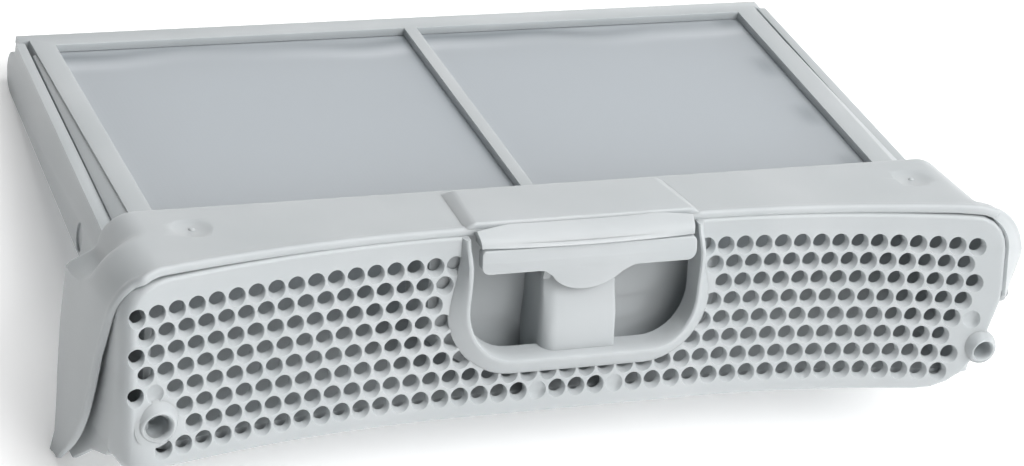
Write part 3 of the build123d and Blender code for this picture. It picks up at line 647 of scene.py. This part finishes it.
tongue = []
for step in range(21):
    turn = math.radians(-54 + 108 * step / 20)
    tongue.append((TONGUE_R * math.sin(turn), TONGUE_LOW + TONGUE_R * (1 - math.cos(turn))))
low_edge = [(-17.8, BAR_LOW), (-16.6, BAR_LOW - 0.12), (-15.6, BAR_LOW - 0.5), (-14.7, BAR_LOW - 1.1)]
low_edge += [point for point in tongue if point[1] < BAR_LOW - 1.6] + [(-x, z) for x, z in reversed(low_edge)]
bar_ends = rounded([(BAR_HALF, BAR_LOW, 3.0), (BAR_HALF, BAR_TOP, 1.6), (-BAR_HALF, BAR_TOP, 1.6),
                    (-BAR_HALF, BAR_LOW, 3.0)], 6)
bar = plate("latch_lever", low_edge + [(p.x, p.y) for p in bar_ends], "Y", 0.0, BAR_WALL)
edit(bar, (bpy.ops.mesh.bisect, {"plane_co": (0, 0, RIDGE_Z), "plane_no": (0, 0, 1)}))
ridge_y = LEAN * RIDGE_Z - BAR_RISE - RIDGE_RISE
for corner in bar.data.vertices:
    z = corner.co.z
    slope = UPPER_SLOPE if z > RIDGE_Z else LOWER_SLOPE
    corner.co.y += ridge_y + slope * (z - RIDGE_Z) + TONGUE_SLOPE * max(BAR_LOW - z, 0)
    if z < BAR_LOW - 1.2:
        corner.co.y = min(corner.co.y, LEAN * z - POST_RISE - 0.4)
round_edges(bar, 0.9, 4, 8)
eye_arm = [(PIVOT_Y + EYE_R * math.cos(turn), PIVOT_Z + EYE_R * math.sin(turn))
           for turn in [math.pi * (-0.5 + k / 12) for k in range(13)]]
bar_y = LEAN * PIVOT_Z - BAR_RISE
eye_arm += [(bar_y + 2.2, PIVOT_Z + EYE_R), (bar_y + 1.6, PIVOT_Z - EYE_R + 2.2)]
arm = plate("latch_eye", eye_arm, "X", EAR_WALL - POST_HALF + EAR_ROOM, POST_HALF - EAR_WALL - EAR_ROOM)
cut(arm, plate("pin_way", circle(PIVOT_Y, PIVOT_Z, PIN_R + PIN_ROOM), "X", -20, 20))
bar = join(bar, arm)
set_down(bar, plastic, "latch", "housing", "latch_bar")


# Lower tray: the deep half of the pocket, moulded polypropylene, with two windows in its floor, a rim
# along its side walls and pads that the hinge turns in. Its edges are broken as the tool leaves them.
def from_cad(name, node, bevel_mm):
    """Copy of a CAD node with merged corners and bevelled edges."""
    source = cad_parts[node]
    piece = source.copy()
    piece.data = source.data.copy()
    piece.name = name
    piece.parent = None
    piece.matrix_world = Matrix.Identity(4)
    bpy.context.scene.collection.objects.link(piece)
    edit(piece, (bpy.ops.mesh.remove_doubles, {"threshold": 0.00001}),
         (bpy.ops.mesh.dissolve_limited, {"angle_limit": math.radians(1.0)}))
    finish_with(piece, "BEVEL", width=bevel_mm * MM, segments=3, limit_method="ANGLE",
                angle_limit=math.radians(35), use_clamp_overlap=True)
    piece.data.transform(to_table.inverted())
    return piece


tray = from_cad("lower_tray", "lower_frame", 0.5)
set_down(tray, plastic, "lower_half", "housing", "lower_frame")


# Mesh: fine woven polyester screen, cut to size and set into the frames while they are moulded. Close to,
# it is a plain weave of clear grey threads; from afar it is an even satin grey with slack ripples. Its
# colour carries painted shade along each fold and at the dents and a painted highlight before the far fold.
# Screen colours: a painted highlight, the plain grey, and painted shade for the fold lines and dents.
MESH_PAINTED_HIGHLIGHT = "#E6EAEE"
MESH_GREY = "#D2D7DB"
MESH_SHADE = "#A7AEB3"
EVEN = 0.4
THREAD_MM = 0.8
WAVE_SCALE = 0.159        # makes each light and dark band of a wave texture about a unit wide
SLACK_MM = 0.25

screen = bpy.data.materials.new("woven_polyester_screen")
screen.use_nodes = True
tree = screen.node_tree
shader = tree.nodes["Principled BSDF"]
where = add_node(tree, "ShaderNodeTexCoord").outputs["Object"]
# The real threads are 0.2 mm apart; threads and gaps are drawn 0.8 mm wide each so that they show.
threads = 1000 / THREAD_MM * WAVE_SCALE
warp = add_node(tree, "ShaderNodeTexWave", [("Vector", where)], bands_direction="X", Scale=threads)
weft = add_node(tree, "ShaderNodeTexWave", [("Vector", where)], bands_direction="Y", Scale=threads)
weave = add_node(tree, "ShaderNodeMath", operation="MAXIMUM")
tree.links.new(warp.outputs["Fac"], weave.inputs[0])
tree.links.new(weft.outputs["Fac"], weave.inputs[1])
folds = add_node(tree, "ShaderNodeAttribute", attribute_name="slack")
# Painted shade and highlight: each corner's value picks between highlight, plain grey and shade.
painted_fold_tone = add_node(tree, "ShaderNodeValToRGB", [("Fac", folds.outputs["Fac"])])
painted_fold_tone.color_ramp.elements[0].color = from_hex(MESH_PAINTED_HIGHLIGHT)
painted_fold_tone.color_ramp.elements[1].color = from_hex(MESH_SHADE)
painted_fold_tone.color_ramp.elements.new(EVEN).color = from_hex(MESH_GREY)
relief = add_node(tree, "ShaderNodeBump", [("Height", weave.outputs["Value"])],
                  Strength=0.12, Distance=0.0001)
tree.links.new(painted_fold_tone.outputs["Color"], shader.inputs["Base Color"])
tree.links.new(relief.outputs["Normal"], shader.inputs["Normal"])
shader.inputs["Roughness"].default_value = 0.55
shader.inputs["Sheen Weight"].default_value = 0.15
shader.inputs["IOR"].default_value = 1.5
through = add_node(tree, "ShaderNodeBsdfTranslucent", [("Color", painted_fold_tone.outputs["Color"])])
blend = add_node(tree, "ShaderNodeMixShader", Fac=0.5)
tree.links.new(shader.outputs["BSDF"], blend.inputs[1])
tree.links.new(through.outputs["BSDF"], blend.inputs[2])
tree.links.new(blend.outputs["Shader"], tree.nodes["Material Output"].inputs["Surface"])


def ripple(x, share):
    """Slack of the screen and its painted shade: a wavy dark fold by the far rail, a painted highlight before
    it, dark dents at the right.
    """
    fold = 0.945 + 0.012 * math.sin(x / 17) + 0.006 * math.sin(x / 7.3 + 1)
    # The dark fold and the dents are painted shade in the colour; the lighter band is a painted highlight.
    dark = math.exp(-((share - fold) / 0.022) ** 2) * (0.65 + 0.35 * math.sin(x / 29 + 0.6))
    light = math.exp(-((share - fold + 0.055) / 0.022) ** 2) * (0.55 + 0.45 * math.sin(x / 21 + 2))
    dents = math.exp(-((x - 128) / 4.0) ** 2) * max(math.sin(share * 21), 0)
    return dark - 0.6 * light + 0.6 * dents


def screen_sheet(name, half, front, rear, height):
    """Stretched screen between two depths, with a height for each depth."""
    columns, rows = 110, 64

    def place(column, row):
        x = half * (2 * column / columns - 1)
        share = row / rows
        y = front + (rear - front) * share
        return (x, y, height(y) + SLACK_MM * ripple(x, share))
    sheet = shaped_grid(name, columns, rows, place)
    look_out(sheet, (0, 0, 1))
    # Painted shade and highlight of the ripples, kept on each corner for the screen's colour.
    slack = sheet.data.attributes.new("slack", "FLOAT", "POINT")
    for at, corner in enumerate(sheet.data.vertices):
        share = (corner.co.y - front) / (rear - front)
        slack.data[at].value = min(max(EVEN + (1 - EVEN) * ripple(corner.co.x, share), 0.0), 1.0)
    return sheet


LOWER_HALF, LOWER_FRONT, LOWER_REAR = 133.0, 63.0, 161.0
FLOOR_Y, FLOOR_Z, TRAY_WALL, HINGE_Y, HINGE_LOW = 58.0, -7.4, 2.4, 170.0, -1.0
floor_slope = (HINGE_LOW - FLOOR_Z) / (HINGE_Y - FLOOR_Y)
lower_screen = screen_sheet("lower_screen", LOWER_HALF, LOWER_FRONT, LOWER_REAR,
                            lambda y: FLOOR_Z + TRAY_WALL + 0.3 + floor_slope * (y - FLOOR_Y))
set_down(lower_screen, screen, "lower_half", "mesh", "lower_mesh")


# Upper frame: the flat lid of the pocket, moulded polypropylene round the screen, with a rib across its
# middle and lugs at the hinge. Its rails are rounded along their edges.
upper = from_cad("upper_rails", "upper_frame", 0.8)
EAR_FROM, EAR_KEEPS, EAR_Z, EAR_THINS = 142.4, 0.35, 17.4, 0.08
for corner in upper.data.vertices:
    past = abs(corner.co.x) - EAR_FROM
    if past > 0:
        corner.co.x = math.copysign(EAR_FROM + EAR_KEEPS * past, corner.co.x)
        corner.co.z = EAR_Z + (corner.co.z - EAR_Z) * (1 - EAR_THINS * min(past, 5))

# Sloping flanks beside the rails: their (x, z) section at the front and at the rear.
FLANK_FRONT, FLANK_REAR = 41.0, 162.0
FLANKS = {FLANK_FRONT: [(140.2, 19.9), (147.0, 17.0), (146.6, 15.4), (140.6, 13.3)],
          FLANK_REAR: [(140.2, 19.9), (142.6, 18.6), (142.4, 17.0), (140.6, 13.3)]}


def rail_flank(side):
    def place(column, row):
        y = (FLANK_FRONT, FLANK_REAR)[row]
        x, z = FLANKS[y][column % 4]
        return (side * x, y, z)
    flank = shaped_grid("flank", 4, 1, place)
    weld(flank, 0.001, fill=True)
    round_edges(flank, 0.4, 3, 20)
    return flank


for side in (-1, 1):
    upper = join(upper, rail_flank(side))
set_down(upper, plastic, "upper_half", "housing", "upper_frame")

UPPER_HALF, UPPER_FRONT, UPPER_REAR, UPPER_Z = 136.2, 49.0, 169.5, 16.75
upper_screen = screen_sheet("upper_screen", UPPER_HALF, UPPER_FRONT, UPPER_REAR, lambda y: UPPER_Z)
set_down(upper_screen, screen, "upper_half", "mesh", "upper_mesh")


# Hood: the cover over the front, moulded polypropylene in one piece with the lip over the latch. Its top
# slopes back, its shoulders are round and its cheeks run down outside the feet; a bead follows its rim.
HOOD_WALL, HOOD_TOP, HOOD_SLOPE, HOOD_REAR, HOOD_HALF = 1.2, 33.6, 0.105, 40.0, 165.6
# The left (-1) and right (1) ends differ: shoulder radius, half width of the narrower body, the depth where
# it starts, the run that it takes to step in, the height of its ledge, and the slant above the ledge.
SHOULDER_R, BODY_R = {-1: 17.0, 1: 24.0}, 11.0
BODY_HALF = {-1: 156.2, 1: 151.4}
BODY_FROM = {-1: 17.5, 1: 2.4}
BODY_RUN = {-1: 7.0, 1: 3.0}
LEDGE_Z, LEDGE_PART = {-1: 11.0, 1: 0.0}, 0.4
SLANT = {-1: (0.92, 0.45, 0.16, 0.47), 1: (0.6, 0.06, 0.02, 0.06)}
FLARE, FLARE_Z, CHEEK_TIP = math.tan(math.radians(3.85)), 15.0, -49.2
CHEEK_STEPS, ARC_STEPS, TOP_STEPS = 16, 20, 26
SIDE_STEPS = CHEEK_STEPS + ARC_STEPS + TOP_STEPS
# Depth of a cheek's front and rear edges by height.
CHEEK_FRONT = {-1: [(-49.2, 18.5), (-42.5, 12.9), (-36, 8.0), (-30, 4.8), (-22, 2.2), (-12, 1.1), (1.2, 0.9),
                    (12.5, -1.1), (24, -3.0), (30.4, -3.8), (33.6, -6.0)],
               1: [(-49.2, 19.5), (-42, 18.5), (-30, 16.5), (-17, 10.0), (-10, 5.4), (-2, 2.5), (3, 1.2),
                   (9, -0.2), (14, -1.4), (18, -1.0), (22, -0.8), (28, -1.0), (31.5, -2.0), (33.6, -6.0)]}
CHEEK_REAR = [(-49.2, 23.8), (-41, 23.0), (-24, 30.5), (-8, 36.4), (2, 38.6), (11, 40.0)]


def hood_top(y):
    return HOOD_TOP - HOOD_SLOPE * y


def hood_section(column, y, offset):
    """Point of the hood's section at a depth, moved out along the section's normal by an offset.

    The front of the hood is wide; behind it the shoulders step in to a narrower body above the cheeks.
    """
    step = min(column, 2 * SIDE_STEPS - column)
    side = -1 if column < SIDE_STEPS else 1
    top, first, wide_r = hood_top(y), math.atan(FLARE), SHOULDER_R[side]
    share = ease((y - BODY_FROM[side]) / BODY_RUN[side])
    centre_z = top - wide_r
    centre_x = HOOD_HALF + FLARE * (FLARE_Z - centre_z) - wide_r / math.cos(first)
    low_z = centre_z + wide_r * math.sin(first)
    ledge_z = low_z + (LEDGE_Z[side] - low_z) * (share if side > 0 else ease((y - BODY_FROM[side]) / 20))
    body_x = BODY_HALF[side]
    if step <= CHEEK_STEPS:
        z = CHEEK_TIP + (ledge_z - CHEEK_TIP) * step / CHEEK_STEPS
        turn, x = first, HOOD_HALF + FLARE * (FLARE_Z - z)
    elif step <= CHEEK_STEPS + ARC_STEPS:
        part = (step - CHEEK_STEPS) / ARC_STEPS
        turn = first + (math.pi / 2 - first) * part
        x, z = centre_x + wide_r * math.cos(turn), centre_z + wide_r * math.sin(turn)
        body_turn = math.pi / 2 * max(part - LEDGE_PART, 0) / (1 - LEDGE_PART)
        in_x = body_x + BODY_R * (math.cos(body_turn) - 1)
        in_z = top + BODY_R * (math.sin(body_turn) - 1)
        if part < LEDGE_PART:
            slant = SLANT[side]
            outward = [(0, 1), (0.1, slant[0]), (0.2, slant[1]), (0.3, 0.1), (LEDGE_PART, 0)]
            upward = [(0, 0), (0.1, slant[2]), (0.2, slant[3]), (LEDGE_PART, 1)]
            in_x = body_x + (HOOD_HALF - body_x) * along(outward, part)
            in_z = ledge_z + (top - BODY_R - ledge_z) * along(upward, part)
        x, z = x + (in_x - x) * share, z + (in_z - z) * share
        turn += (body_turn - turn) * share
    else:
        turn = math.pi / 2
        half = centre_x + (body_x - BODY_R - centre_x) * share
        x = half * (1 - (step - CHEEK_STEPS - ARC_STEPS) / TOP_STEPS)
        z = top
    return Vector((side * (x + offset * math.cos(turn)), y, z + offset * math.sin(turn)))


def hood_front(column):
    """Depth of the hood's front edge for a column of its section."""
    y = 0.0
    for _ in range(6):
        x, _, z = hood_section(column, y, 0)
        y = max(face_depth(x, z), along(CHEEK_FRONT[-1 if column < SIDE_STEPS else 1], z))
    return y


# The bead along the rim: depth behind the rim, and rise.
BEAD = [(0.0, -0.6), (0.25, -0.1), (0.7, 0.2), (1.4, 0.32), (2.1, 0.25), (2.8, 0.06), (3.4, 0.0)]
MID_ROWS, TURN_ROWS, WALL_ROWS = 18, 4, 3
LIP_ROWS = 3
HOOD_ROWS = LIP_ROWS + len(BEAD) + MID_ROWS + TURN_ROWS + WALL_ROWS - 1
SEAM_IN = 2.6
RING_X, RING_Z, RING_R, RING_SIDE, RING_LOW = 143.9, 19.8, 11.2, 155.1, -4.0


def seam_point(column, edge):
    """Inner end of the hood's front rim: under the top, inside the left cheek, at the panel on the right."""
    step = 2 * SIDE_STEPS - column
    inner = hood_section(column, edge.y, -SEAM_IN)
    if column <= SIDE_STEPS or step > CHEEK_STEPS + ARC_STEPS or edge.z < RING_LOW:
        return inner
    turn = math.pi / 2 * max(step - CHEEK_STEPS, 0) / ARC_STEPS
    x, z = RING_X + RING_R * math.cos(turn), RING_Z + RING_R * math.sin(turn)
    if step <= CHEEK_STEPS:
        x, z = RING_SIDE, min(edge.z, RING_Z)
    share = ease((edge.z - RING_LOW) / 6)
    reached = Vector((x, face_depth(x, z) + 0.4, z))
    return inner.lerp(reached, share)


# The way out for the pocket: past the tray's walls low down, and past the upper frame above them.
WAY_HALF, TRAY_WAY_Z = {-1: 152.6, 1: 150.2}, 16.6
FRAME_WAY_HALF, FRAME_WAY_Z = 142.6, 20.4


def way_out(column, height):
    """Place on the way that the pocket takes out of the hood's rear wall, for a column of the section."""
    step = min(column, 2 * SIDE_STEPS - column)
    side = -1 if column < SIDE_STEPS else 1
    part = (step - CHEEK_STEPS) / ARC_STEPS
    wall_x = WAY_HALF[side]
    if part > 1:
        top_part = (step - CHEEK_STEPS - ARC_STEPS) / TOP_STEPS
        return Vector((side * FRAME_WAY_HALF * (1 - top_part), HOOD_REAR, FRAME_WAY_Z))
    if part < 0:
        flange = HOOD_HALF + FLARE * (FLARE_Z - height) - SEAM_IN
        x = wall_x + (flange - wall_x) * ease((4 - height) / 18)
        return Vector((side * x, along(CHEEK_REAR, height), height))
    x = along([(0, wall_x), (0.35, wall_x), (0.7, FRAME_WAY_HALF), (1, FRAME_WAY_HALF)], part)
    z = along([(0, height), (0.35, TRAY_WAY_Z), (0.7, TRAY_WAY_Z), (1, FRAME_WAY_Z)], part)
    return Vector((side * x, HOOD_REAR, min(z, FRAME_WAY_Z)))


FULL_DEPTH, REAR_R = 22.0, 1.6
ROUND_IN, ROUND_RUN = 1.2, 15.0


def hood_place(column, row):
    """Place of a hood corner, from the seam with the panel over the bead and the top to the rear wall."""
    front = hood_front(column)
    edge = hood_section(column, front, 0)
    rear = HOOD_REAR
    for _ in range(3):
        rear = along(CHEEK_REAR, hood_section(column, rear, 0).z)
    scale = min(1.0, (rear - front) / FULL_DEPTH)
    round_in = ROUND_IN * ease((CHEEK_STEPS + ARC_STEPS - column) / 16)
    if row < LIP_ROWS:
        rim = hood_section(column, front + 0.05, -0.55 - round_in)
        point = seam_point(column, edge).lerp(rim, row / LIP_ROWS)
        point.y -= 0.3 * math.sin(math.pi * row / LIP_ROWS)
        return point
    row -= LIP_ROWS
    if row < len(BEAD):
        back, rise = BEAD[row]
        rise = rise * scale - round_in * (1 - back / ROUND_RUN) ** 2
        return hood_section(column, front + back * scale, rise)
    row -= len(BEAD) - 1
    corner_r = REAR_R * scale
    start, stop = front + BEAD[-1][0] * scale, rear - corner_r
    if row <= MID_ROWS:
        y = start + (stop - start) * row / MID_ROWS
        return hood_section(column, y, -round_in * max(1 - (y - front) / ROUND_RUN, 0) ** 2)
    row -= MID_ROWS
    if row <= TURN_ROWS:
        turn = math.pi / 2 * row / TURN_ROWS
        return hood_section(column, stop + corner_r * math.sin(turn), -corner_r * (1 - math.cos(turn)))
    row -= TURN_ROWS
    start = hood_section(column, rear, -corner_r)
    return start.lerp(way_out(column, start.z), row / WALL_ROWS)


hood = shaped_grid("hood_shell", 2 * SIDE_STEPS, HOOD_ROWS, hood_place)
look_out(hood, (0, 0, 1))
finish_with(hood, "SOLIDIFY", thickness=HOOD_WALL, offset=-1)

GATE_X, GATE_Y, GATE_R, GATE_DEEP = 130.7, 24.0, 6.6, 0.55
slope_down = Matrix.Rotation(-math.atan(HOOD_SLOPE), 4, "X")
vestiges = []
for side in (-1, 1):
    at_gate = Matrix.Translation((side * GATE_X, GATE_Y, hood_top(GATE_Y))) @ slope_down
    bpy.ops.object.select_all(action="DESELECT")
    bpy.ops.mesh.primitive_cone_add(vertices=48, radius1=GATE_R - 1.1, radius2=GATE_R + 0.9,
                                    depth=2 * GATE_DEEP)
    dish = bpy.context.object
    dish.data.transform(at_gate)
    cut(hood, dish)
    bpy.ops.object.select_all(action="DESELECT")
    bpy.ops.mesh.primitive_cone_add(vertices=20, radius1=1.3, radius2=0.7, depth=0.6)
    vestige = bpy.context.object
    vestige.data.transform(at_gate @ Matrix.Translation((0, 0, -GATE_DEEP + 0.2)))
    round_edges(vestige, 0.2, 2, 40)
    vestiges.append(vestige)

# Half width and depth of the raised middle's corners, by whether they are at the front and on top.
PLATEAU_RISE, PLATEAU_SINK = 2.1, 1.2
PLATEAU = {(True, True): (39.6, 9.2), (True, False): (44.6, 9.2),
           (False, True): (36.8, 35.0), (False, False): (42.4, 37.5)}
bpy.ops.object.select_all(action="DESELECT")
bpy.ops.mesh.primitive_cube_add(size=2)
plateau = bpy.context.object
plateau.name = "plateau"
for corner in plateau.data.vertices:
    side, depth, level = corner.co
    half, y = PLATEAU[depth < 0, level > 0]
    corner.co = (side * half, y, hood_top(y) + (PLATEAU_RISE if level > 0 else -PLATEAU_SINK))
round_edges(plateau, 1.1, 4, 20)

LIP_STEPS = 32
LIP_SHARES = [0, 0.08, 0.2, 0.35, 0.5, 0.65, 0.8, 0.92, 1.0]
LIP_UNDER = [(0.15, -0.3), (0.5, -0.5), (6.0, -0.3)]
LIP_TOP_HALF, LIP_TOP_Y, LIP_TOP_Z, LIP_TOP_BOW = 38.8, 6.8, 33.0, 4.4
LIP_LOW_HALF, LIP_LOW_Y, LIP_LOW_Z, LIP_LOW_BOW = 38.2, 2.3, 29.1, 1.5
LIP_SWELL, LIP_WALL = 0.9, 1.6


def lip_place(column, level):
    """Lip over the latch: a pillow whose upper line bows back in the middle."""
    wide = 2 * column / LIP_STEPS - 1
    bow = 1 - wide * wide
    top_z = LIP_TOP_Z + 1.2 * bow + 0.9 * max(wide, 0) ** 2
    upper = Vector((LIP_TOP_HALF * wide - 0.6, LIP_TOP_Y + LIP_TOP_BOW * bow, top_z))
    lower = Vector((LIP_LOW_HALF * wide - 0.5, LIP_LOW_Y - LIP_LOW_BOW * bow, LIP_LOW_Z))
    if level == 0:
        return upper + Vector((0, 2.5, -1.5))
    level -= 1
    if level < len(LIP_SHARES):
        share = LIP_SHARES[level]
        swell = LIP_SWELL * math.sin(math.pi * share ** 1.25)
        return upper.lerp(lower, share) + Vector((0, -0.75 * swell, 0.6 * swell))
    back, drop = LIP_UNDER[level - len(LIP_SHARES)]
    return lower + Vector((0, back, drop))


lip = shaped_grid("lip", LIP_STEPS, len(LIP_SHARES) + len(LIP_UNDER), lip_place)
look_out(lip, (0, -1, 0))
finish_with(lip, "SOLIDIFY", thickness=LIP_WALL, offset=-1)
hood = join(hood, plateau, lip, *vestiges)
set_down(hood, plastic, "upper_half", "housing", "front_hood")
